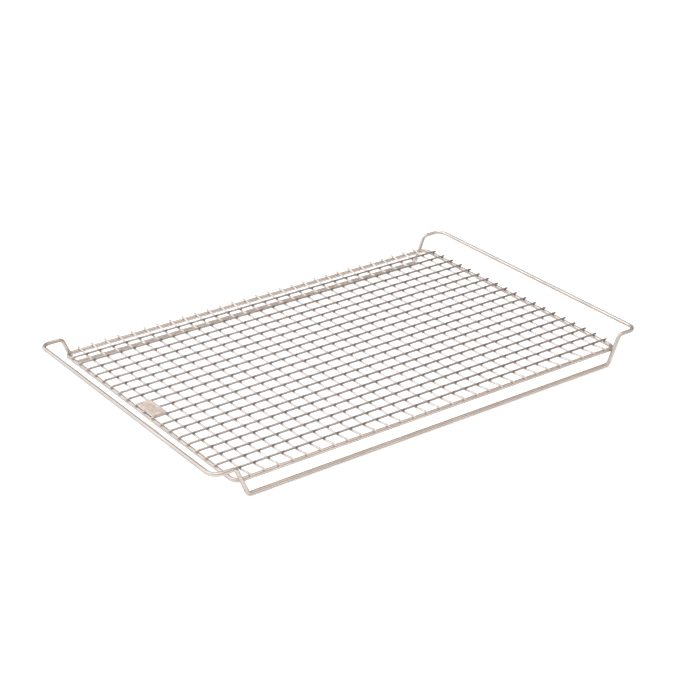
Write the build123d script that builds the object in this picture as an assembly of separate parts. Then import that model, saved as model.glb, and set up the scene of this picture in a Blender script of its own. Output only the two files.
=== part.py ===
from build123d import *

import math
import os

# A welded wire cooling rack. Sizes in mm, +Z up.
# Origin: the middle of the rack's footprint, on the plane it stands on.
# X runs between the two handles, Y along the handles.

# Driving dimensions
FRAME_LENGTH = 381.0       # X, centreline to centreline: 30 mesh cells of half an inch
FRAME_WIDTH = 254.0        # Y, centreline to centreline: 20 mesh cells of half an inch
FRAME_HEIGHT = 13.55       # centreline of the frame above the table
HANDLE_HEIGHT = 26.45      # centreline of the handles above the table
HANDLE_REACH = 21.0        # X, from the frame's centreline out to the handle's
FOOT_INSET = 9.3           # X, from the frame's centreline in to the foot bend, taken as a sharp corner
RISER_TOP_OUTSET = 1.2     # X, from the frame's centreline out to the upper bend, taken as a sharp corner
HEAVY_WIRE = 3.5           # diameter of the frame and of the handle and foot loop
FINE_WIRE = 1.8            # diameter of the mesh wires

# Mesh
X_CELLS = 30
Y_CELLS = 20
FINE_SINK = 0.35           # how far two welded mesh wires sink into each other
MESH_SINK = 0.25           # how far the mesh wires sink into the frame
HEAVY_SINK = 0.15          # how far the loop sinks into the frame
END_PAST_FRAME = 0.8       # mesh wire ends beyond the outside of the frame
CLIMB_PAST_WIRE = 1.3      # a cross wire starts to climb this far past the outermost lengthwise wire
CLIMB_TO_FRAME = 1.8       # and is level again this far inside the frame's centreline
CLIMB_BEND = 8.0           # centreline radius of the two bends in the climb

# Bends of the heavy wires, centreline radii
FRAME_CORNER = 6.35
FOOT_BEND = 4.5
TOP_BEND = 5.0
HANDLE_CORNER = 8.5

# Tag plate
TAG_LENGTH = 13.2          # X
TAG_WIDTH = 25.4           # Y
TAG_THICKNESS = 0.7
TAG_CORNER = 1.2
TAG_SINK = 0.04            # how far the plate sinks into the wires it is welded to
TAG_RAISED = 0.2           # height of the pressed bead above the plate
TAG_BEAD = 0.7             # width of the pressed bead
TAG_BEAD_INSET = 1.7       # from the plate's edge to the outside of the bead

heavy_r = HEAVY_WIRE / 2
fine_r = FINE_WIRE / 2
pitch_x = FRAME_LENGTH / X_CELLS
pitch_y = FRAME_WIDTH / Y_CELLS
half_x = FRAME_LENGTH / 2
half_y = FRAME_WIDTH / 2

# Heights of the mesh: lengthwise wires lie on the frame, cross wires hang below them
mesh_top_z = FRAME_HEIGHT + heavy_r + fine_r - MESH_SINK
mesh_low_z = mesh_top_z - FINE_WIRE + FINE_SINK
end_x = half_x + heavy_r + END_PAST_FRAME
end_y = half_y + heavy_r + END_PAST_FRAME


def wire_along(path, radius):
    """A round wire of this radius along a path of lines and arcs."""
    return sweep(Plane(origin=path @ 0, z_dir=path % 0) * Circle(radius), path=path)


def rounded_polyline(points, radii):
    """An open path through the points, with the inner corners rounded."""
    pieces = []
    start = points[0]
    for before, corner, after, radius in zip(points, points[1:], points[2:], radii):
        into = (corner - before).normalized()
        out = (after - corner).normalized()
        turn = math.radians(into.get_angle(out))
        setback = radius * math.tan(turn / 2)
        first = corner - into * setback
        last = corner + out * setback
        pieces.append(Line(start, first))
        pieces.append(TangentArc(first, last, tangent=into))
        start = last
    pieces.append(Line(start, points[-1]))
    return Wire([piece.edge() for piece in pieces])


# Frame: a rounded rectangle of heavy wire
frame_path = (Pos(0, 0, FRAME_HEIGHT) * RectangleRounded(FRAME_LENGTH, FRAME_WIDTH, FRAME_CORNER)).wire()
frame = wire_along(frame_path, heavy_r)

# Handle and foot loop. Its Y is set so that each riser just sinks into the frame.
foot_x = half_x - FOOT_INSET
top_x = half_x + RISER_TOP_OUTSET
handle_x = half_x + HANDLE_REACH


def riser_gap(y):
    """Distance between the centrelines of a riser and the frame."""
    return Line((foot_x, y, heavy_r), (top_x, y, HANDLE_HEIGHT)).distance_to(frame_path)


near, far = half_y, half_y + HEAVY_WIRE
for _ in range(40):
    middle = (near + far) / 2
    if riser_gap(middle) < HEAVY_WIRE - HEAVY_SINK:
        near = middle
    else:
        far = middle
loop_y = (near + far) / 2

loop_points = [
    Vector(0, -loop_y, heavy_r),
    Vector(foot_x, -loop_y, heavy_r),
    Vector(top_x, -loop_y, HANDLE_HEIGHT),
    Vector(handle_x, -loop_y, HANDLE_HEIGHT),
    Vector(handle_x, 0, HANDLE_HEIGHT),
]
loop_radii = [FOOT_BEND, TOP_BEND, HANDLE_CORNER]
quarter = wire_along(rounded_polyline(loop_points, loop_radii), heavy_r)
half_loop = quarter + mirror(quarter, about=Plane.XZ)
loop = half_loop + mirror(half_loop, about=Plane.YZ)

# Mesh wires
lengthwise = [
    Pos(0, half_y - i * pitch_y, mesh_top_z) * Rot(0, 90, 0) * Cylinder(fine_r, 2 * end_x)
    for i in range(1, Y_CELLS)
]

climb_foot = half_y - pitch_y + CLIMB_PAST_WIRE
climb_head = half_y - CLIMB_TO_FRAME
cross_points = [
    Vector(0, -end_y, mesh_top_z),
    Vector(0, -climb_head, mesh_top_z),
    Vector(0, -climb_foot, mesh_low_z),
    Vector(0, climb_foot, mesh_low_z),
    Vector(0, climb_head, mesh_top_z),
    Vector(0, end_y, mesh_top_z),
]
cross_shape = wire_along(rounded_polyline(cross_points, [CLIMB_BEND] * 4), fine_r)
cross = [Pos(-half_x + i * pitch_x, 0, 0) * cross_shape for i in range(1, X_CELLS)]

# Tag plate: from above the frame to the first cross wire, on the three middle lengthwise wires
tag_z = mesh_top_z + fine_r - TAG_SINK + TAG_THICKNESS / 2
tag_x = -half_x + pitch_x - TAG_LENGTH / 2
tag = Box(TAG_LENGTH, TAG_WIDTH, TAG_THICKNESS)
tag = fillet(tag.edges().filter_by(Axis.Z), TAG_CORNER)
bead_length = TAG_LENGTH - 2 * TAG_BEAD_INSET
bead_width = TAG_WIDTH - 2 * TAG_BEAD_INSET
bead = RectangleRounded(bead_length, bead_width, bead_length / 2 - 0.1)
bead -= RectangleRounded(
    bead_length - 2 * TAG_BEAD, bead_width - 2 * TAG_BEAD, bead_length / 2 - TAG_BEAD - 0.1
)
tag += Pos(0, 0, TAG_THICKNESS / 2) * extrude(bead, TAG_RAISED)
tag = Pos(tag_x, 0, tag_z) * tag

os.makedirs("parts", exist_ok=True)
export_step(frame, "parts/perimeter_frame.step")
export_step(loop, "parts/handle_and_foot_loop.step")
export_step(tag, "parts/tag_plate.step")
for i, wire in enumerate(lengthwise, 1):
    export_step(wire, f"parts/lengthwise_wire_{i:02d}.step")
for i, wire in enumerate(cross, 1):
    export_step(wire, f"parts/cross_wire_{i:02d}.step")
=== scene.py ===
"""Visual model of a welded wire cooling rack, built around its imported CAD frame."""

import logging
import math
from dataclasses import dataclass, field
from enum import Enum

import bmesh
import bpy
from mathutils import Matrix, Vector


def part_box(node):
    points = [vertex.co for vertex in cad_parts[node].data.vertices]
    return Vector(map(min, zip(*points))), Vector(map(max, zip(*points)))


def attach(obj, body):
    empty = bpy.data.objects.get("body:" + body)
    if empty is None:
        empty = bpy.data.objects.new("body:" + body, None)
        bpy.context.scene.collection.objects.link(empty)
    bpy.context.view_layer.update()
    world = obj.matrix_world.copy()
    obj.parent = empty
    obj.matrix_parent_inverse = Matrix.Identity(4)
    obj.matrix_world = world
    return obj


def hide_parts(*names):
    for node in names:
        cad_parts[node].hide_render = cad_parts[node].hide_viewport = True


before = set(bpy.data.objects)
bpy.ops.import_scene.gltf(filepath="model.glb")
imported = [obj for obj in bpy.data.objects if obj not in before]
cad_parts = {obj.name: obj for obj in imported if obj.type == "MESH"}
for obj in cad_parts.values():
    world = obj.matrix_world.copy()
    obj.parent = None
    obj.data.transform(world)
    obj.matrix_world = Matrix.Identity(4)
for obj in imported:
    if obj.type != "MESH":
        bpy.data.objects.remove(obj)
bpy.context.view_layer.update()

LOG = logging.getLogger("cooling_rack")
MM = 0.001
BODY = "root"
LENGTHWISE_COUNT = 19
CROSS_COUNT = 29

# Node trees: space between nodes, and sockets whose names aren't unique, by number
NODE_SPACING = 180.0
MIX_LOW, MIX_HIGH, MIX_RESULT = 6, 7, 2
RANDOM_LOW, RANDOM_HIGH, RANDOM_RESULT = 2, 3, 1

# The coating's pattern and the masks of its painted shade: noise settings, and shares of the sizes and masks
# they multiply
GRAIN_DETAIL = 3.0
PATCH_DETAIL = 2.0
NOISE_ROUGHNESS = 0.55
NOISE_RANGE = (0.28, 0.72)
PATCH_SHARE = 0.65
GRAIN_SHARE = 0.35
HALF_CELL = (0.5, 0.5, 0.5)
LEVEL_ONLY = (1.0, 1.0, 0.0)
CROSSING_NOISE_SCALE = 420.0
CROSSING_CORE = 0.25
CROSSING_ROUGHENING = 0.10
EDGE_SHADE_REACH = 4.5

Rgb = tuple[float, float, float]
Rgba = tuple[float, float, float, float]


class Slot(Enum):
    """The record's material slots."""

    HEAVY = "heavy_wire"
    MESH = "mesh_wire"
    TAG = "tag"


# --------------------------------------------------------------------------- coat looks, with painted light


@dataclass(frozen=True)
class CoatWithPaintedLight:
    """The champagne metallic coating, as one kind of piece shows it, with light and shade painted in.

    Sizes are in metres, colours are linear. The coat runs from dark to light in patches. It turns to
    its darkest colour around the welds and towards a wire's outline (rim): painted shade in both places.
    On the frame it turns to over_frame, where the fine wires drop their painted lit or shaded colours.
    """

    name: str
    light: Rgb = (0.68, 0.60, 0.545)
    dark: Rgb = (0.55, 0.475, 0.42)
    # The darkest colour, used for the painted shade at the crossings and at the outlines.
    painted_shade_colour: Rgb = (0.16, 0.13, 0.115)
    metallic: float = 0.88
    rough_low: float = 0.20
    rough_high: float = 0.36
    grain_size: float = 0.00035
    blotch_size: float = 0.018
    grain_depth: float = 0.000012
    # Reach and amount of the painted shade around the crossings.
    shade_reach: float = 0.0026
    shade_amount: float = 0.55
    # over_frame: the fine wires' colour where they lie on the frame, in place of their painted lit or shaded
    # colours, so that there they look lit like the frame.
    over_frame: Rgb = (0.60, 0.515, 0.46)
    over_amount: float = 1.0
    # The rim fields set a painted shade: the colour darkens towards a wire's outline as its surface turns
    # away from the view.
    rim_painted_shade: float = 0.46
    rim_shade_from: float = 0.12
    rim_shade_to: float = 0.62
    coat: float = 0.06
    coat_rough: float = 0.18


# The heavy wires keep the plain coat, with painted shade at their outlines.
HEAVY_COAT_AND_RIM_SHADE = CoatWithPaintedLight("heavy", shade_amount=0.0, over_amount=0.0)
# The lengthwise and cross wires wear one coat; the lengthwise wires' darker colours below are painted shade,
# and the cross wires' lighter colours are painted highlight.
LENGTHWISE_SHADED_LOOK = CoatWithPaintedLight(
    "lengthwise", light=(0.48, 0.43, 0.395), dark=(0.35, 0.31, 0.28), shade_amount=0.7, rim_painted_shade=0.20)
CROSS_LIT_LOOK = CoatWithPaintedLight(
    "cross", light=(0.78, 0.72, 0.68), dark=(0.62, 0.56, 0.52), rough_low=0.26, rough_high=0.42,
    shade_amount=0.12, rim_painted_shade=0.22)
TAG_FINISH = CoatWithPaintedLight(
    "pressed", light=(0.82, 0.71, 0.63), dark=(0.56, 0.47, 0.405), shade_amount=0.0, over_amount=0.0,
    rough_low=0.38, rough_high=0.55, grain_size=0.0014, blotch_size=0.0040, grain_depth=0.00004,
    rim_painted_shade=0.0)


class NodeTreeKit:
    """Small helpers to write a shader or geometry tree with few lines."""

    def __init__(self, tree: bpy.types.NodeTree) -> None:
        """Keeps the tree that the nodes go into.

        Args:
            tree: the shader or geometry tree.
        """
        self.tree = tree
        self.column = 0

    def node(self, kind: str, **settings: object) -> bpy.types.Node:
        """Adds a node.

        Args:
            kind: the node's Blender type.
            settings: attributes to set on it.

        Returns:
            The new node.
        """
        made = self.tree.nodes.new(kind)
        self.column += 1
        made.location = (self.column * NODE_SPACING, 0.0)
        for key, value in settings.items():
            setattr(made, key, value)
        return made

    def feed(self, socket: bpy.types.NodeSocket, value: object) -> None:
        """Links an output to an input, or sets the input's constant.

        Args:
            socket: the input.
            value: an output socket, or a plain value.
        """
        if isinstance(value, bpy.types.NodeSocket):
            self.tree.links.new(value, socket)
        else:
            socket.default_value = value

    def fed(self, kind: str, inputs: dict[str | int, object], **settings: object) -> bpy.types.Node:
        """Adds a node and feeds its inputs.

        Args:
            kind: the node's Blender type.
            inputs: what goes into each input, by name or number.
            settings: attributes to set on it first.

        Returns:
            The new node.
        """
        made = self.node(kind, **settings)
        for key, value in inputs.items():
            self.feed(made.inputs[key], value)
        return made

    def math(self, operation: str, *values: object) -> bpy.types.NodeSocket:
        """Adds a Math node.

        Args:
            operation: its operation.
            values: its inputs, in order.

        Returns:
            Its output.
        """
        return self.fed("ShaderNodeMath", dict(enumerate(values)), operation=operation).outputs[0]

    def vector(self, operation: str, *values: object) -> bpy.types.NodeSocket:
        """Adds a Vector Math node.

        Args:
            operation: its operation, other than SCALE.
            values: its inputs, in order.

        Returns:
            Its output: a number for LENGTH and DOT_PRODUCT, and a vector otherwise.
        """
        made = self.fed("ShaderNodeVectorMath", dict(enumerate(values)), operation=operation)
        return made.outputs["Value" if operation in ("LENGTH", "DOT_PRODUCT") else "Vector"]

    def scale(self, vector: object, factor: object) -> bpy.types.NodeSocket:
        """Multiplies a vector by a number.

        Args:
            vector: the vector.
            factor: the number.

        Returns:
            The product.
        """
        inputs = {0: vector, "Scale": factor}
        return self.fed("ShaderNodeVectorMath", inputs, operation="SCALE").outputs["Vector"]

    def random(self, low: object, high: object, seed: object) -> bpy.types.NodeSocket:
        """Draws a random number for each point.

        Args:
            low: the least it can be.
            high: the most it can be.
            seed: the seed.

        Returns:
            The number.
        """
        inputs = {RANDOM_LOW: low, RANDOM_HIGH: high, "Seed": seed}
        return self.fed("FunctionNodeRandomValue", inputs, data_type="FLOAT").outputs[RANDOM_RESULT]

    def attribute(self, name: str) -> bpy.types.NodeSocket:
        """Reads a number that the points carry.

        Args:
            name: the attribute's name.

        Returns:
            The number.
        """
        return self.fed("GeometryNodeInputNamedAttribute", {"Name": name}, data_type="FLOAT").outputs[0]

    def blend(self, factor: object, low: object, high: object) -> bpy.types.NodeSocket:
        """Mixes two colours.

        Args:
            factor: 0 gives low and 1 gives high.
            low: a colour or a socket.
            high: a colour or a socket.

        Returns:
            The mixed colour.
        """
        inputs = {"Factor": factor, MIX_LOW: low, MIX_HIGH: high}
        return self.fed("ShaderNodeMix", inputs, data_type="RGBA").outputs[MIX_RESULT]

    def ramp(self, value: object, low: object, high: object,
             to_low: float = 0.0, to_high: float = 1.0) -> bpy.types.NodeSocket:
        """Maps a value smoothly from one range to another, clamped.

        Args:
            value: the value to map.
            low: where the map starts.
            high: where it ends.
            to_low: the result at low.
            to_high: the result at high.

        Returns:
            The mapped value.
        """
        inputs = dict(enumerate((value, low, high, to_low, to_high)))
        return self.fed("ShaderNodeMapRange", inputs, interpolation_type="SMOOTHSTEP").outputs[0]


def new_group(name: str, kind: str, inputs: dict[str, tuple[str, object]],
              outputs: dict[str, str]) -> tuple[NodeTreeKit, bpy.types.Node, bpy.types.Node]:
    """Makes a node group with its named inputs and outputs.

    Args:
        name: the group's name.
        kind: the tree's Blender type.
        inputs: name to (short socket type, default value or None).
        outputs: name to short socket type.

    Returns:
        The group's helper, its input node and its output node.
    """
    tree = bpy.data.node_groups.new(name, kind)
    for label, (socket_type, default) in inputs.items():
        socket = tree.interface.new_socket(label, in_out="INPUT", socket_type=f"NodeSocket{socket_type}")
        if default is not None:
            socket.default_value = default
    for label, socket_type in outputs.items():
        tree.interface.new_socket(label, in_out="OUTPUT", socket_type=f"NodeSocket{socket_type}")
    return NodeTreeKit(tree), tree.nodes.new("NodeGroupInput"), tree.nodes.new("NodeGroupOutput")


class CoatShop:
    """Makes the coating's shared shader groups, and one material for each look, painted light included."""

    def __init__(self, pitch: Vector, first: Vector, rim: Vector) -> None:
        """Builds the groups.

        Args:
            pitch: the mesh's spacing along X and Y.
            first: the first crossing, from which the others are counted.
            rim: where the wires start to lie on the frame, along X and Y.
        """
        self.pitch = pitch
        self.first = first
        self.rim = rim
        self.grain = self._grain_group()
        self.crossing_mask = self._crossing_group()
        self.seat = self._seat_group()
        self.made: dict[str, bpy.types.Material] = {}

    @staticmethod
    def _grain_group() -> bpy.types.NodeTree:
        """Fine orange peel and flake of the coating, with broad uneven patches.

        Returns:
            The shader group, which puts out Grain, Patch and Height.
        """
        kit, into, out = new_group(
            "coat_grain", "ShaderNodeTree",
            {"Vector": ("Vector", None), "Grain Size": ("Float", 0.0004), "Patch Size": ("Float", 0.02),
             "Depth": ("Float", 0.00001)},
            {"Grain": "Float", "Patch": "Float", "Height": "Float"},
        )
        values = {}
        for label, detail in (("Grain Size", GRAIN_DETAIL), ("Patch Size", PATCH_DETAIL)):
            noise = kit.fed("ShaderNodeTexNoise", {
                "Vector": into.outputs["Vector"], "Scale": kit.math("DIVIDE", 1.0, into.outputs[label]),
                "Detail": detail, "Roughness": NOISE_ROUGHNESS}, noise_dimensions="3D")
            values[label] = kit.ramp(noise.outputs[0], *NOISE_RANGE)
        kit.feed(out.inputs["Grain"], values["Grain Size"])
        kit.feed(out.inputs["Patch"], values["Patch Size"])
        kit.feed(out.inputs["Height"], kit.math("MULTIPLY", values["Grain Size"], into.outputs["Depth"]))
        return kit.tree

    @staticmethod
    def _crossing_group() -> bpy.types.NodeTree:
        """A mask that is 1 at each welded crossing of the mesh and fades around it: where the coat gets its
        painted shade and a little more roughness.

        Returns:
            The shader group, which puts out Crossing.
        """
        kit, into, out = new_group(
            "weld_crossing_mask", "ShaderNodeTree",
            {"Vector": ("Vector", None), "First": ("Vector", None), "Pitch": ("Vector", None),
             "Reach": ("Float", 0.0025), "Unevenness": ("Float", 0.5)},
            {"Crossing": "Float"},
        )
        place, pitch = into.outputs["Vector"], into.outputs["Pitch"]
        cells = kit.vector("DIVIDE", kit.vector("SUBTRACT", place, into.outputs["First"]), pitch)
        fraction = kit.vector("FRACTION", kit.vector("ADD", cells, HALF_CELL))
        offset = kit.vector("MULTIPLY", kit.vector("SUBTRACT", fraction, HALF_CELL), pitch)
        distance = kit.vector("LENGTH", kit.vector("MULTIPLY", offset, LEVEL_ONLY))
        noise = kit.fed("ShaderNodeTexNoise", {"Vector": place, "Scale": CROSSING_NOISE_SCALE},
                        noise_dimensions="3D")
        wobble = kit.math("MULTIPLY", kit.math("SUBTRACT", noise.outputs[0], 0.5), into.outputs["Unevenness"])
        reach = kit.math("MULTIPLY", into.outputs["Reach"], kit.math("ADD", 1.0, wobble))
        core = kit.math("MULTIPLY", reach, CROSSING_CORE)
        kit.feed(out.inputs["Crossing"], kit.ramp(distance, core, reach, 1.0, 0.0))
        return kit.tree

    @staticmethod
    def _seat_group() -> bpy.types.NodeTree:
        """A mask that is 1 where the fine wires lie on the frame, at three of its sides.

        Returns:
            The shader group, which puts out Seat, and Edge Shade: a painted shade along the inner edge of the
            frame's -X side.
        """
        kit, into, out = new_group(
            "frame_seat", "ShaderNodeTree",
            {"Vector": ("Vector", None), "Rim": ("Vector", None), "Softness": ("Float", 0.0004)},
            {"Seat": "Float", "Edge Shade": "Float"},
        )
        place, rim = (kit.fed("ShaderNodeSeparateXYZ", {0: into.outputs[name]}).outputs
                      for name in ("Vector", "Rim"))
        softness = into.outputs["Softness"]
        masks = []
        for axis, operation in (("X", "MULTIPLY"), ("Y", "ABSOLUTE")):
            out_by = kit.math(operation, place[axis], -1.0)
            start = kit.math("SUBTRACT", rim[axis], softness)
            stop = kit.math("ADD", rim[axis], softness)
            masks.append(kit.ramp(out_by, start, stop))
            # The edge mask places painted shade on the wires just inside the frame's -X side.
            if axis == "X":
                start = kit.math("SUBTRACT", rim[axis], kit.math("MULTIPLY", softness, EDGE_SHADE_REACH))
                kit.feed(out.inputs["Edge Shade"], kit.ramp(out_by, start, rim[axis]))
        kit.feed(out.inputs["Seat"], kit.math("MAXIMUM", *masks))
        return kit.tree

    def material(self, finish: CoatWithPaintedLight, slot: Slot) -> bpy.types.Material:
        """The material of one look, coat and painted light together, made the first time it is asked for.

        Args:
            look: the coat's colours with their painted light.
            slot: the record's slot, for the material's name.

        Returns:
            The material.
        """
        key = f"{slot.value}_{finish.name}"
        if key in self.made:
            return self.made[key]
        made = bpy.data.materials.new(key)
        made.use_nodes = True
        made.node_tree.nodes.clear()
        kit = NodeTreeKit(made.node_tree)
        place = kit.node("ShaderNodeTexCoord").outputs["Object"]
        grain = kit.fed("ShaderNodeGroup", {
            "Vector": place, "Grain Size": finish.grain_size, "Patch Size": finish.blotch_size,
            "Depth": finish.grain_depth}, node_tree=self.grain).outputs
        crossing_mask = kit.fed("ShaderNodeGroup", {
            "Vector": place, "First": self.first, "Pitch": self.pitch, "Reach": finish.shade_reach},
            node_tree=self.crossing_mask).outputs["Crossing"]
        seat = kit.fed("ShaderNodeGroup", {"Vector": place, "Rim": self.rim}, node_tree=self.seat).outputs
        uneven = kit.math("ADD", kit.math("MULTIPLY", grain["Patch"], PATCH_SHARE),
                          kit.math("MULTIPLY", grain["Grain"], GRAIN_SHARE))
        coat = kit.blend(uneven, (*finish.dark, 1.0), (*finish.light, 1.0))
        # On the frame the fine wires drop their painted lit or shaded colours for over_frame, and lose the
        # painted shade.
        seated = kit.math("MULTIPLY", seat["Seat"], finish.over_amount)
        coat = kit.blend(seated, coat, (*finish.over_frame, 1.0))
        # Painted shade: the coat darkens to its darkest colour around each crossing and along the frame's -X
        # inner edge, but not where the wires lie on the frame.
        painted_shade = kit.math("MAXIMUM", crossing_mask, seat["Edge Shade"])
        painted_shade = kit.math("MULTIPLY", painted_shade, finish.shade_amount)
        painted_shade = kit.math("MULTIPLY", painted_shade, kit.math("SUBTRACT", 1.0, seated))
        colour = kit.blend(painted_shade, coat, (*finish.painted_shade_colour, 1.0))
        # Painted shade: the colour darkens towards each wire's outline, by the Layer Weight's facing.
        facing = kit.node("ShaderNodeLayerWeight").outputs["Facing"]
        rim = kit.math("MULTIPLY", kit.ramp(facing, finish.rim_shade_from, finish.rim_shade_to), finish.rim_painted_shade)
        colour = kit.blend(rim, colour, (*finish.painted_shade_colour, 1.0))
        rough = kit.ramp(uneven, 0.0, 1.0, finish.rough_high, finish.rough_low)
        rough = kit.math("ADD", rough, kit.math("MULTIPLY", crossing_mask, CROSSING_ROUGHENING))
        bump = kit.fed("ShaderNodeBump", {"Height": grain["Height"], "Distance": 1.0})
        shader = kit.fed("ShaderNodeBsdfPrincipled", {
            "Base Color": colour, "Metallic": finish.metallic, "Roughness": rough,
            "Coat Weight": finish.coat, "Coat Roughness": finish.coat_rough,
            "Normal": bump.outputs["Normal"]})
        kit.fed("ShaderNodeOutputMaterial", {"Surface": shader.outputs[0]})
        self.made[key] = made
        return made


# --------------------------------------------------------------------------- geometry trees


class GeometryShop:
    """Builds the Geometry Nodes trees, and bakes what they make into plain meshes."""

    def __init__(self) -> None:
        """Builds each tree once."""
        self.bent_wire = self._bent_wire_tree()
        self.wire_row = self._wire_row_tree()
        self.weld_field = self._weld_field_tree()

    @staticmethod
    def _finish_tree(kit: NodeTreeKit, shape: bpy.types.NodeSocket, into: bpy.types.Node,
                     out: bpy.types.Node) -> None:
        """Ends a tree: smooth faces, real meshes, and the material.

        Args:
            kit: the tree's helper.
            shape: the geometry so far.
            into: the group's input node.
            out: the group's output node.
        """
        smooth = kit.fed("GeometryNodeSetShadeSmooth", {"Geometry": shape})
        real = kit.fed("GeometryNodeRealizeInstances", {"Geometry": smooth.outputs[0]})
        dress = kit.fed("GeometryNodeSetMaterial",
                        {"Geometry": real.outputs[0], "Material": into.outputs["Material"]})
        kit.feed(out.inputs["Geometry"], dress.outputs[0])

    @staticmethod
    def _bent_tube(kit: NodeTreeKit, into: bpy.types.Node) -> bpy.types.NodeSocket:
        """A round tube along the line given, bent at its corners and thinned where its points say so.

        Args:
            kit: the tree's helper.
            into: the group's input node, with Geometry, Wire Radius, Sides and Bend Steps.

        Returns:
            The tube's mesh.
        """
        line = kit.fed("GeometryNodeMeshToCurve", {"Mesh": into.outputs["Geometry"]})
        bends = kit.fed("GeometryNodeFilletCurve", {
            "Curve": line.outputs["Curve"], "Count": into.outputs["Bend Steps"],
            "Radius": kit.attribute("bend_radius")}, mode="POLY")
        profile = kit.fed("GeometryNodeCurvePrimitiveCircle", {
            "Resolution": into.outputs["Sides"], "Radius": into.outputs["Wire Radius"]})
        tube = kit.fed("GeometryNodeCurveToMesh", {
            "Curve": bends.outputs["Curve"], "Profile Curve": profile.outputs["Curve"],
            "Scale": kit.attribute("girth"), "Fill Caps": True})
        return tube.outputs["Mesh"]

    def _bent_wire_tree(self) -> bpy.types.NodeTree:
        """One wire along a line of corners, each bent to its own radius.

        Returns:
            The tree.
        """
        kit, into, out = new_group(
            "bent_wire", "GeometryNodeTree",
            {"Geometry": ("Geometry", None), "Wire Radius": ("Float", 0.00175), "Sides": ("Int", 32),
             "Bend Steps": ("Int", 12), "Material": ("Material", None)},
            {"Geometry": "Geometry"},
        )
        self._finish_tree(kit, self._bent_tube(kit, into), into, out)
        return kit.tree

    def _wire_row_tree(self) -> bpy.types.NodeTree:
        """A row of like wires, each slid a little along itself as a cutter leaves them.

        Returns:
            The tree.
        """
        kit, into, out = new_group(
            "wire_row", "GeometryNodeTree",
            {"Geometry": ("Geometry", None), "Wire Radius": ("Float", 0.0009), "Sides": ("Int", 18),
             "Bend Steps": ("Int", 5), "Count": ("Int", 19), "First": ("Vector", None),
             "Step": ("Vector", None), "Slide": ("Vector", None), "Seed": ("Int", 1),
             "Material": ("Material", None)},
            {"Geometry": "Geometry"},
        )
        row = kit.fed("GeometryNodeMeshLine", {
            "Count": into.outputs["Count"], "Start Location": into.outputs["First"],
            "Offset": into.outputs["Step"]}, mode="OFFSET")
        slide = kit.scale(into.outputs["Slide"], kit.random(-1.0, 1.0, into.outputs["Seed"]))
        moved = kit.fed("GeometryNodeSetPosition", {"Geometry": row.outputs["Mesh"], "Offset": slide})
        wires = kit.fed("GeometryNodeInstanceOnPoints", {
            "Points": moved.outputs[0], "Instance": self._bent_tube(kit, into)})
        self._finish_tree(kit, wires.outputs[0], into, out)
        return kit.tree

    def _weld_field_tree(self) -> bpy.types.NodeTree:
        """A small pressed-out bead of metal at each given point, no two quite alike.

        Returns:
            The tree.
        """
        kit, into, out = new_group(
            "weld_field", "GeometryNodeTree",
            {"Geometry": ("Geometry", None), "Half Size": ("Vector", None), "Size Spread": ("Float", 0.12),
             "Turn": ("Float", 0.3), "Around": ("Int", 12), "Rings": ("Int", 6), "Seed": ("Int", 1),
             "Material": ("Material", None)},
            {"Geometry": "Geometry"},
        )
        bead = kit.fed("GeometryNodeMeshUVSphere", {
            "Segments": into.outputs["Around"], "Rings": into.outputs["Rings"], "Radius": 1.0})
        seed, spread, turn = (into.outputs[name] for name in ("Seed", "Size Spread", "Turn"))
        share = kit.random(kit.math("SUBTRACT", 1.0, spread), 1.0, seed)
        angle = kit.random(kit.math("MULTIPLY", turn, -1.0), turn, kit.math("ADD", seed, 1.0))
        beads = kit.fed("GeometryNodeInstanceOnPoints", {
            "Points": into.outputs["Geometry"], "Instance": bead.outputs["Mesh"],
            "Rotation": kit.fed("ShaderNodeCombineXYZ", {"Z": angle}).outputs[0],
            "Scale": kit.scale(into.outputs["Half Size"], share)})
        self._finish_tree(kit, beads.outputs[0], into, out)
        return kit.tree

    @staticmethod
    def path_mesh(name: str, points: list[Vector], closed: bool = False, radii: list[float] | None = None,
                  girths: list[float] | None = None) -> bpy.types.Mesh:
        """A mesh of points joined by edges, for a tree to work on.

        Args:
            name: the mesh's name.
            points: the points in order.
            closed: whether the last joins the first.
            radii: the bend radius at each point.
            girths: the wire's width at each point, as a share of its full width.

        Returns:
            The mesh.
        """
        edges = [(i, i + 1) for i in range(len(points) - 1)]
        if closed:
            edges.append((len(points) - 1, 0))
        mesh = bpy.data.meshes.new(name)
        mesh.from_pydata([tuple(p) for p in points], edges, [])
        for label, values, plain in (("bend_radius", radii, 0.0), ("girth", girths, 1.0)):
            layer = mesh.attributes.new(label, "FLOAT", "POINT")
            layer.data.foreach_set("value", values or [plain] * len(points))
        return mesh

    @staticmethod
    def bake(name: str, mesh: bpy.types.Mesh, tree: bpy.types.NodeTree,
             values: dict[str, object]) -> bpy.types.Object:
        """Runs a tree on a mesh and keeps the result as a plain mesh.

        Args:
            name: the new piece's name.
            mesh: what the tree starts from.
            tree: the tree.
            values: its inputs by name.

        Returns:
            The piece, at the origin.
        """
        seed = bpy.data.objects.new(name, mesh)
        bpy.context.scene.collection.objects.link(seed)
        modifier = seed.modifiers.new("shape", "NODES")
        modifier.node_group = tree
        for item in tree.interface.items_tree:
            if item.item_type == "SOCKET" and item.in_out == "INPUT" and item.name in values:
                modifier[item.identifier] = values[item.name]
        depsgraph = bpy.context.evaluated_depsgraph_get()
        result = bpy.data.meshes.new_from_object(seed.evaluated_get(depsgraph))
        seed.modifiers.remove(modifier)
        seed.data = result
        result.name = name
        for label in ("girth", "bend_radius"):
            if label in result.attributes:
                result.attributes.remove(result.attributes[label])
        bpy.data.meshes.remove(mesh)
        return seed


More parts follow.
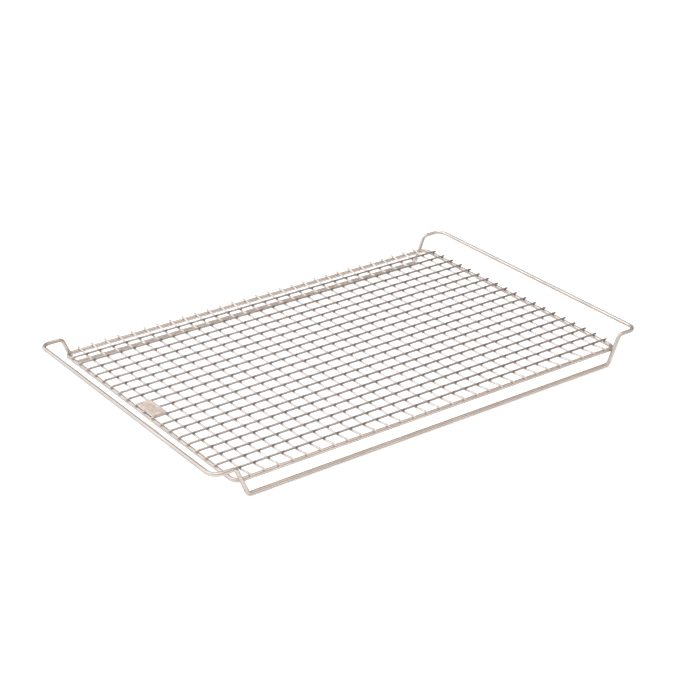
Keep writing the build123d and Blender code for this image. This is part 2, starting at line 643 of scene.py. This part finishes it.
def keep(piece: bpy.types.Object, nodes: list[str]) -> bpy.types.Object:
    """Puts a finished piece on the rack and reports it.

    Args:
        piece: the piece.
        nodes: the CAD nodes that it stands for.

    Returns:
        The piece.
    """
    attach(piece, BODY)
    if nodes:
        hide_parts(*nodes)
    LOG.info("%s: %d faces, stands for %d CAD nodes", piece.name, len(piece.data.polygons), len(nodes))
    return piece


def numbered(stem: str, count: int) -> list[str]:
    """The names of a row of CAD nodes.

    Args:
        stem: what they all start with.
        count: how many there are.

    Returns:
        Their names in order.
    """
    return [f"{stem}_{i:02d}" for i in range(1, count + 1)]


def half_span(node: str, axis: int) -> float:
    """Half a CAD node's size along one axis.

    Args:
        node: the node.
        axis: 0, 1 or 2 for X, Y or Z.

    Returns:
        Half the size, in metres.
    """
    low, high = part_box(node)
    return (high[axis] - low[axis]) / 2


# --------------------------------------------------------------------------- the rack's parts


@dataclass
class MeshLayout:
    """Where the mesh wires lie, read from the CAD nodes, in metres."""

    lengthwise: list[str] = field(default_factory=lambda: numbered("lengthwise_wire", LENGTHWISE_COUNT))
    cross: list[str] = field(default_factory=lambda: numbered("cross_wire", CROSS_COUNT))

    @staticmethod
    def middle(node: str) -> Vector:
        """The middle of a CAD node's box."""
        low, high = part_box(node)
        return (low + high) / 2

    @property
    def radius(self) -> float:
        """Radius of the fine wire."""
        return half_span(self.lengthwise[0], 2)

    @property
    def top_z(self) -> float:
        """Centre height of the lengthwise wires."""
        return self.middle(self.lengthwise[0]).z

    @property
    def low_z(self) -> float:
        """Centre height of the cross wires inside the frame."""
        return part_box(self.cross[0])[0].z + self.radius

    @property
    def rows(self) -> list[float]:
        """Y of each lengthwise wire."""
        return [self.middle(node).y for node in self.lengthwise]

    @property
    def columns(self) -> list[float]:
        """X of each cross wire."""
        return [self.middle(node).x for node in self.cross]

    @property
    def half_length(self) -> float:
        """Half the length of a lengthwise wire."""
        return half_span(self.lengthwise[0], 0)

    @property
    def half_width(self) -> float:
        """Half the length of a cross wire."""
        return half_span(self.cross[0], 1)

    @property
    def pitch(self) -> Vector:
        """Spacing of the cross wires along X and of the lengthwise wires along Y."""
        rows, columns = self.rows, self.columns
        return Vector((abs(columns[1] - columns[0]), abs(rows[1] - rows[0]), 1.0))


@dataclass
class PerimeterFrame:
    """The heavy rectangular wire that carries the mesh."""

    corner_radius: float = 6.35 * MM
    sides: int = 36
    bend_steps: int = 16
    seat_inset: tuple[float, float] = (1.0 * MM, 1.5 * MM)

    @property
    def radius(self) -> float:
        """Radius of the heavy wire."""
        return half_span("perimeter_frame", 2)

    @property
    def half(self) -> Vector:
        """Half length and half width between centrelines, and the centreline's height."""
        low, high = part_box("perimeter_frame")
        return Vector((high.x - self.radius, high.y - self.radius, (high.z + low.z) / 2))

    @property
    def seat(self) -> Vector:
        """Where the fine wires start to lie on the frame, along X and Y."""
        inset_x, inset_y = self.seat_inset
        return Vector((self.half.x - inset_x, self.half.y - inset_y, 0.0))

    def build(self, shop: GeometryShop, coat: bpy.types.Material) -> bpy.types.Object:
        """Bends the wire round and closes it.

        Args:
            shop: the geometry trees.
            coat: the coating.

        Returns:
            The frame.
        """
        x, y, z = self.half
        corners = [Vector(p) for p in ((0, -y, z), (x, -y, z), (x, y, z), (-x, y, z), (-x, -y, z))]
        radii = [0.0] + [self.corner_radius] * 4
        path = shop.path_mesh("frame_path", corners, True, radii)
        piece = shop.bake("frame_wire", path, shop.bent_wire,
                          {"Wire Radius": self.radius, "Sides": self.sides, "Bend Steps": self.bend_steps,
                           "Material": coat})
        return keep(piece, ["perimeter_frame"])


@dataclass
class HandleFootLoop:
    """The heavy wire that makes both foot rails, the risers and both handles."""

    foot_inset: float = 9.3 * MM
    riser_top_outset: float = 1.2 * MM
    foot_bend: float = 4.5 * MM
    top_bend: float = 5.0 * MM
    handle_corner: float = 8.5 * MM
    sides: int = 36
    bend_steps: int = 16

    def corner_x(self, frame_half: Vector) -> tuple[float, float]:
        """X of the foot bend and of the riser's upper bend, as sharp corners.

        Args:
            frame_half: the frame's half sizes.

        Returns:
            Both distances from the middle.
        """
        return frame_half.x - self.foot_inset, frame_half.x + self.riser_top_outset

    def side_y(self, radius: float) -> float:
        """Distance of the long sides' centrelines from the middle."""
        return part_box("handle_and_foot_loop")[1].y - radius

    def riser_x(self, radius: float, frame_half: Vector) -> float:
        """X at which a riser passes the frame.

        Args:
            radius: the heavy wire's radius.
            frame_half: the frame's half sizes.

        Returns:
            Its distance from the middle.
        """
        low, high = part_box("handle_and_foot_loop")
        foot_x, top_x = self.corner_x(frame_half)
        climb = (frame_half.z - low.z - radius) / (high.z - low.z - 2 * radius)
        return foot_x + climb * (top_x - foot_x)

    def build(self, shop: GeometryShop, radius: float, frame_half: Vector,
              coat: bpy.types.Material) -> bpy.types.Object:
        """Bends the wire through all twelve corners and closes it.

        Args:
            shop: the geometry trees.
            radius: the heavy wire's radius.
            frame_half: the frame's half sizes.
            coat: the coating.

        Returns:
            The loop.
        """
        low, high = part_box("handle_and_foot_loop")
        foot_z, handle_z = low.z + radius, high.z - radius
        side_y, handle_x = self.side_y(radius), high.x - radius
        foot_x, top_x = self.corner_x(frame_half)
        quarter = [(foot_x, foot_z, self.foot_bend), (top_x, handle_z, self.top_bend),
                   (handle_x, handle_z, self.handle_corner)]
        corners, radii = [Vector((0, -side_y, foot_z))], [0.0]
        for sx, sy, order in ((1, -1, 1), (1, 1, -1), (-1, 1, 1), (-1, -1, -1)):
            for x, z, bend in quarter[::order]:
                corners.append(Vector((sx * x, sy * side_y, z)))
                radii.append(bend)
        path = shop.path_mesh("loop_path", corners, True, radii)
        piece = shop.bake("handle_and_foot_wire", path, shop.bent_wire,
                          {"Wire Radius": radius, "Sides": self.sides, "Bend Steps": self.bend_steps,
                           "Material": coat})
        return keep(piece, ["handle_and_foot_loop"])


@dataclass
class WireMesh:
    """The square mesh: straight lengthwise wires on top and cross wires below."""

    layout: MeshLayout
    sides: int = 18
    bend_steps: int = 6
    climb_past_wire: float = 1.3 * MM
    climb_to_frame: float = 1.8 * MM
    climb_bend: float = 8.0 * MM
    slide: float = 0.18 * MM
    end_steps: tuple[tuple[float, float], ...] = ((0.0, 0.62), (0.06, 0.80), (0.17, 0.93), (0.36, 1.0))
    lengthwise_seed: int = 11
    cross_seed: int = 23

    def _with_ends(self, inner: list[tuple[Vector, float]], half: float,
                   along: Vector) -> tuple[list[Vector], list[float], list[float]]:
        """Adds softly rounded cut ends to a wire's path.

        Args:
            inner: the corners between the ends, with their bend radii.
            half: half the wire's length.
            along: the wire's direction.

        Returns:
            Points, bend radii and girths.
        """
        first = [(-along * (half - step * MM), 0.0, girth) for step, girth in self.end_steps]
        last = [(along * (half - step * MM), 0.0, girth) for step, girth in self.end_steps[::-1]]
        rows = first + [(p, bend, 1.0) for p, bend in inner] + last
        return [r[0] for r in rows], [r[1] for r in rows], [r[2] for r in rows]

    def _row(self, shop: GeometryShop, name: str, inner: list[tuple[Vector, float]], half: float,
             along: Vector, values: dict[str, object]) -> bpy.types.Object:
        """Bends one wire and repeats it.

        Args:
            shop: the geometry trees.
            name: the piece's name.
            inner: the corners between a wire's ends, with their bend radii.
            half: half the wire's length.
            along: the wire's direction.
            values: the row's own inputs, by name.

        Returns:
            The row as one mesh.
        """
        points, radii, girths = self._with_ends(inner, half, along)
        path = shop.path_mesh(f"{name}_path", points, False, radii, girths)
        return shop.bake(name, path, shop.wire_row, {
            "Wire Radius": self.layout.radius, "Sides": self.sides, "Bend Steps": self.bend_steps, **values})

    def build_lengthwise(self, shop: GeometryShop, coat: bpy.types.Material) -> bpy.types.Object:
        """The row of straight wires along X.

        Args:
            shop: the geometry trees.
            coat: the coating.

        Returns:
            All of them as one mesh.
        """
        lay = self.layout
        piece = self._row(shop, "lengthwise_wires", [], lay.half_length, Vector((1, 0, 0)), {
            "Count": len(lay.rows), "First": (0.0, lay.rows[0], lay.top_z),
            "Step": (0.0, -lay.pitch.y, 0.0), "Slide": (self.slide, 0.0, 0.0),
            "Seed": self.lengthwise_seed, "Material": coat})
        return keep(piece, lay.lengthwise)

    def build_cross(self, shop: GeometryShop, coat: bpy.types.Material) -> bpy.types.Object:
        """The row of cross wires along Y, which climb onto the frame at both ends.

        Args:
            shop: the geometry trees.
            coat: the coating.

        Returns:
            All of them as one mesh.
        """
        lay = self.layout
        frame_y = PerimeterFrame().half.y
        climb = [(frame_y - self.climb_to_frame, 0.0),
                 (frame_y - lay.pitch.y + self.climb_past_wire, lay.low_z - lay.top_z)]
        corners = [(Vector((0, -y, z)), self.climb_bend) for y, z in climb]
        corners += [(Vector((0, y, z)), self.climb_bend) for y, z in climb[::-1]]
        piece = self._row(shop, "cross_wires", corners, lay.half_width, Vector((0, 1, 0)), {
            "Count": len(lay.columns), "First": (lay.columns[0], 0.0, lay.top_z),
            "Step": (lay.pitch.x, 0.0, 0.0), "Slide": (0.0, self.slide, 0.0),
            "Seed": self.cross_seed, "Material": coat})
        return keep(piece, lay.cross)


@dataclass
class Welds:
    """Every resistance weld's rim of pressed-out metal."""

    layout: MeshLayout
    mesh_half: tuple[float, float, float] = (1.02 * MM, 1.02 * MM, 0.42 * MM)
    frame_half: tuple[float, float, float] = (1.15 * MM, 1.15 * MM, 0.50 * MM)
    corner_half: tuple[float, float, float] = (1.35 * MM, 0.80 * MM, 1.60 * MM)
    mesh_seed: int = 31
    frame_seed: int = 47
    riser_seed: int = 59

    def _field(self, shop: GeometryShop, name: str, points: list[Vector], half: tuple[float, float, float],
               seed: int, coat: bpy.types.Material) -> bpy.types.Object:
        """One bead at each point, as one mesh.

        Args:
            shop: the geometry trees.
            name: the piece's name.
            points: where the beads are.
            half: a bead's half sizes.
            seed: the seed of their spread.
            coat: the coating.

        Returns:
            The beads.
        """
        mesh = shop.path_mesh(f"{name}_points", points)
        piece = shop.bake(name, mesh, shop.weld_field, {"Half Size": half, "Seed": seed, "Material": coat})
        return keep(piece, [])

    def build(self, shop: GeometryShop, frame_half: Vector, loop_y: float, heavy: float,
              riser_x: float, mesh_coat: bpy.types.Material, heavy_coat: bpy.types.Material) -> None:
        """Makes the beads of the mesh, of the mesh on the frame, and of the loop on the frame.

        Args:
            shop: the geometry trees.
            frame_half: the frame's half sizes.
            loop_y: distance of the loop's long sides from the middle.
            heavy: the heavy wire's radius.
            riser_x: where a riser passes the frame, from the middle.
            mesh_coat: the fine wires' coating.
            heavy_coat: the heavy wires' coating.
        """
        lay = self.layout
        crossing_z = (lay.top_z + lay.low_z) / 2
        crossings = [Vector((x, y, crossing_z)) for x in lay.columns for y in lay.rows]
        self._field(shop, "mesh_welds", crossings, self.mesh_half, self.mesh_seed, mesh_coat)
        seat_z = frame_half.z + heavy
        seats = [Vector((s * frame_half.x, y, seat_z)) for s in (-1, 1) for y in lay.rows]
        seats += [Vector((x, s * frame_half.y, seat_z)) for s in (-1, 1) for x in lay.columns]
        self._field(shop, "frame_welds", seats, self.frame_half, self.frame_seed, mesh_coat)
        touch_y = (frame_half.y + loop_y) / 2
        touches = [Vector((sx * riser_x, sy * touch_y, frame_half.z)) for sx in (-1, 1) for sy in (-1, 1)]
        self._field(shop, "riser_welds", touches, self.corner_half, self.riser_seed, heavy_coat)


@dataclass
class TagPlate:
    """The small pressed plate welded on the mesh at one end, with a plain raised bead and two bars.

    Fields not given in millimetres are shares of the size that they multiply, or counts.
    """

    corner: float = 1.2 * MM
    corner_least: float = 0.5
    corner_most: float = 0.999
    bead_height: float = 0.2 * MM
    bead_inset: float = 1.7 * MM
    bead_width: float = 0.7 * MM
    bead_steps: tuple[float, ...] = (0.0, 0.15, 0.3, 0.5, 0.7, 0.85, 1.0)
    edge_round: float = 0.18 * MM
    edge_middle: float = 0.3
    flat_margin: float = 0.08 * MM
    arc_steps: int = 10
    bar_half: tuple[float, float] = (0.45 * MM, 2.6 * MM)
    bar_widening: float = 1.6
    bar_height: float = 0.8
    bar_offset: float = 4.4 * MM
    bar_sink: float = 0.02 * MM
    bar_crest: float = 0.04
    bar_steps: tuple[float, ...] = (0.0, 0.25, 0.5, 0.75, 0.93)

    def _outline(self, half_x: float, half_y: float, corner: float) -> list[tuple[float, float]]:
        """A rounded rectangle, anticlockwise.

        Args:
            half_x: half its size along X.
            half_y: half its size along Y.
            corner: its corner radius.

        Returns:
            Its points.
        """
        corner = min(corner, half_x * self.corner_most, half_y * self.corner_most)
        points = []
        for turn, (sx, sy) in enumerate(((1, 1), (-1, 1), (-1, -1), (1, -1))):
            for i in range(self.arc_steps + 1):
                angle = math.radians(90) * (turn + i / self.arc_steps)
                points.append((sx * (half_x - corner) + corner * math.cos(angle),
                               sy * (half_y - corner) + corner * math.sin(angle)))
        return points

    @staticmethod
    def _loft(mesh: bmesh.types.BMesh, rings: list[list[Vector]]) -> None:
        """Joins rings of points one above the other, and closes both ends.

        Args:
            mesh: where the faces go.
            rings: the rings, from the bottom outwards and up.
        """
        made = [[mesh.verts.new(p) for p in ring] for ring in rings]
        count = len(made[0])
        for a, b in zip(made, made[1:]):
            for i in range(count):
                j = (i + 1) % count
                mesh.faces.new((a[i], a[j], b[j], b[i]))
        mesh.faces.new(made[0][::-1])
        mesh.faces.new(made[-1])

    def build(self, coat: bpy.types.Material) -> bpy.types.Object:
        """Presses the plate.

        Args:
            coat: the coating.

        Returns:
            The plate.
        """
        low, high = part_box("tag_plate")
        centre = (low + high) / 2
        half_x, half_y = (high.x - low.x) / 2, (high.y - low.y) / 2
        top = high.z - self.bead_height
        edge, middle = self.edge_round, self.edge_round * self.edge_middle
        bead_end = self.bead_inset + self.bead_width
        profile = [(edge, low.z, False), (middle, low.z + middle, False), (0.0, low.z + edge, False),
                   (0.0, top - edge, False), (middle, top - middle, False), (edge, top, False),
                   (edge + self.flat_margin, top, False), (self.bead_inset - self.flat_margin, top, True)]
        for share in self.bead_steps:
            inset = self.bead_inset + share * self.bead_width
            profile.append((inset, top + self.bead_height * math.sin(math.pi * share), True))
        profile.append((bead_end + self.flat_margin, top, True))
        rings = []
        for inset, z, round_ended in profile:
            x, y = half_x - inset, half_y - inset
            corner = x if round_ended else max(self.corner - inset, self.corner * self.corner_least)
            outline = self._outline(x, y, corner)
            rings.append([Vector((centre.x + px, centre.y + py, z)) for px, py in outline])
        work = bmesh.new()
        self._loft(work, rings)
        self._bars(work, centre, top)
        bmesh.ops.recalc_face_normals(work, faces=work.faces)
        data = bpy.data.meshes.new("tag")
        work.to_mesh(data)
        work.free()
        for face in data.polygons:
            face.use_smooth = True
        data.materials.append(coat)
        piece = bpy.data.objects.new("tag", data)
        bpy.context.scene.collection.objects.link(piece)
        return keep(piece, ["tag_plate"])

    def _bars(self, mesh: bmesh.types.BMesh, centre: Vector, top: float) -> None:
        """Two plain pressed bars inside the bead.

        Args:
            mesh: where the faces go.
            centre: the middle of the plate.
            top: the height of its flat face.
        """
        height = self.bead_height * self.bar_height
        half_width, half_length = self.bar_half
        for side in (-1, 1):
            middle = Vector((centre.x, centre.y + side * self.bar_offset, 0.0))
            rings = []
            for share in self.bar_steps:
                spread = math.cos(share * math.pi / 2) + self.bar_crest
                z = top - self.bar_sink + height * math.sin(share * math.pi / 2)
                outline = self._outline(half_width * self.bar_widening * spread,
                                        half_length - half_width * (1 - spread), 1.0)
                rings.append([Vector((middle.x + px, middle.y + py, z)) for px, py in outline])
            self._loft(mesh, rings)


# --------------------------------------------------------------------------- the studio


@dataclass(frozen=True)
class Lamp:
    """A soft rectangular studio light, aimed at the rack."""

    name: str
    place: tuple[float, float, float]
    size: float
    power: float
    colour: Rgb = (1.0, 1.0, 1.0)


@dataclass
class Studio:
    """The pale floor, the surroundings, the lights and the camera."""

    floor_size: float = 24.0
    floor_colour: Rgb = (0.95, 0.95, 0.96)
    floor_rough: float = 0.9
    floor_specular: float = 0.1
    lamps: tuple[Lamp, ...] = (
        Lamp("key_back_left", (-1.2, 1.7, 1.7), 2.4, 18.0, (0.97, 0.99, 1.0)),
    )
    bright_side: tuple[float, float, float] = (-0.85, 0.53, 0.0)
    low_dim: Rgba = (0.46, 0.45, 0.44, 1.0)
    low_bright: Rgba = (1.16, 1.30, 1.42, 1.0)
    room_dim: Rgba = (0.82, 0.73, 0.67, 1.0)
    room_bright: Rgba = (0.92, 1.01, 1.09, 1.0)
    ceiling: Rgba = (1.95, 1.98, 2.04, 1.0)
    low_edge: tuple[float, float] = (-0.15, 0.65)
    room_edge: tuple[float, float] = (-0.3, 0.6)
    horizon_edge: tuple[float, float] = (0.22, 0.42)
    ceiling_edge: tuple[float, float] = (0.78, 0.94)
    floor_glow: float = 0.32
    azimuth: float = 36.80
    elevation: float = 26.23
    roll: float = 0.65
    distance: float = 1.5417
    target: tuple[float, float, float] = (0.02296, 0.02690, 0.00175)
    lens: float = 94.18
    sensor: float = 36.0
    clip_end: float = 100.0

    def build(self) -> None:
        """Builds all of it."""
        self._floor()
        self._world()
        for lamp in self.lamps:
            self._lamp(lamp)
        self._camera()
        bpy.context.scene.view_settings.view_transform = "Standard"

    def _floor(self) -> None:
        """A wide matt floor that the rack stands on."""
        half = self.floor_size / 2
        data = bpy.data.meshes.new("floor")
        corners = [(-half, -half, 0), (half, -half, 0), (half, half, 0), (-half, half, 0)]
        data.from_pydata(corners, [], [(0, 1, 2, 3)])
        surface = bpy.data.materials.new("floor_paper")
        surface.use_nodes = True
        shader = surface.node_tree.nodes["Principled BSDF"]
        shader.inputs["Base Color"].default_value = (*self.floor_colour, 1.0)
        shader.inputs["Roughness"].default_value = self.floor_rough
        shader.inputs["Specular IOR Level"].default_value = self.floor_specular
        shader.inputs["Emission Color"].default_value = (1.0, 1.0, 1.0, 1.0)
        shader.inputs["Emission Strength"].default_value = self.floor_glow
        data.materials.append(surface)
        floor = bpy.data.objects.new("floor", data)
        bpy.context.scene.collection.objects.link(floor)

    def _world(self) -> None:
        """Surroundings: cool window light from behind and the left, a dimmer room, and a bright ceiling."""
        world = bpy.data.worlds.new("studio")
        bpy.context.scene.world = world
        world.use_nodes = True
        world.node_tree.nodes.clear()
        kit = NodeTreeKit(world.node_tree)
        way = kit.node("ShaderNodeTexCoord").outputs["Generated"]
        height = kit.fed("ShaderNodeSeparateXYZ", {0: way}).outputs["Z"]
        side = kit.vector("DOT_PRODUCT", way, self.bright_side)
        low = kit.blend(kit.ramp(side, *self.low_edge), self.low_dim, self.low_bright)
        room = kit.blend(kit.ramp(side, *self.room_edge), self.room_dim, self.room_bright)
        lower = kit.blend(kit.ramp(height, *self.horizon_edge), low, room)
        colour = kit.blend(kit.ramp(height, *self.ceiling_edge), lower, self.ceiling)
        light = kit.fed("ShaderNodeBackground", {"Color": colour, "Strength": 1.0})
        kit.fed("ShaderNodeOutputWorld", {"Surface": light.outputs[0]})

    @staticmethod
    def _lamp(lamp: Lamp) -> None:
        """Hangs one light.

        Args:
            lamp: what and where it is.
        """
        data = bpy.data.lights.new(lamp.name, "AREA")
        data.size = lamp.size
        data.energy = lamp.power
        data.color = lamp.colour
        made = bpy.data.objects.new(lamp.name, data)
        made.location = lamp.place
        made.rotation_euler = (-Vector(lamp.place)).to_track_quat("-Z", "Y").to_euler()
        bpy.context.scene.collection.objects.link(made)

    def _camera(self) -> None:
        """Sets the camera to the viewing angle."""
        az, el, roll = (math.radians(a) for a in (self.azimuth, self.elevation, self.roll))
        ahead = Vector((math.sin(az) * math.cos(el), math.cos(az) * math.cos(el), -math.sin(el)))
        right = Vector((math.cos(az), -math.sin(az), 0.0))
        up = right.cross(ahead)
        right, up = right * math.cos(roll) + up * math.sin(roll), up * math.cos(roll) - right * math.sin(roll)
        place = Vector(self.target) - ahead * self.distance
        data = bpy.data.cameras.new("camera")
        data.lens = self.lens
        data.sensor_width = self.sensor
        data.clip_end = self.clip_end
        camera = bpy.data.objects.new("camera", data)
        turn = Matrix((right, up, -ahead)).transposed().to_4x4()
        camera.matrix_world = Matrix.Translation(place) @ turn
        bpy.context.scene.collection.objects.link(camera)
        bpy.context.scene.camera = camera


def main() -> None:
    """Builds the rack's pieces in order, and then the studio."""
    logging.basicConfig(level=logging.INFO, format="%(name)s %(message)s")
    layout = MeshLayout()
    rim = PerimeterFrame()
    loop = HandleFootLoop()
    first = Vector((layout.columns[0], layout.rows[0], 0.0))
    coats = CoatShop(layout.pitch, first, rim.seat)
    shop = GeometryShop()
    heavy_coat = coats.material(HEAVY_COAT_AND_RIM_SHADE, Slot.HEAVY)
    # The lengthwise wires get painted shade and the cross wires painted highlight, in place of one shared
    # coat.
    lengthwise_shaded_coat = coats.material(LENGTHWISE_SHADED_LOOK, Slot.MESH)
    cross_lit_coat = coats.material(CROSS_LIT_LOOK, Slot.MESH)
    tag_coat = coats.material(TAG_FINISH, Slot.TAG)
    rim.build(shop, heavy_coat)
    loop.build(shop, rim.radius, rim.half, heavy_coat)
    mesh = WireMesh(layout)
    mesh.build_lengthwise(shop, lengthwise_shaded_coat)
    mesh.build_cross(shop, cross_lit_coat)
    Welds(layout).build(shop, rim.half, loop.side_y(rim.radius), rim.radius,
                        loop.riser_x(rim.radius, rim.half), lengthwise_shaded_coat, heavy_coat)
    TagPlate().build(tag_coat)
    Studio().build()


if __name__ == "__main__":
    main()
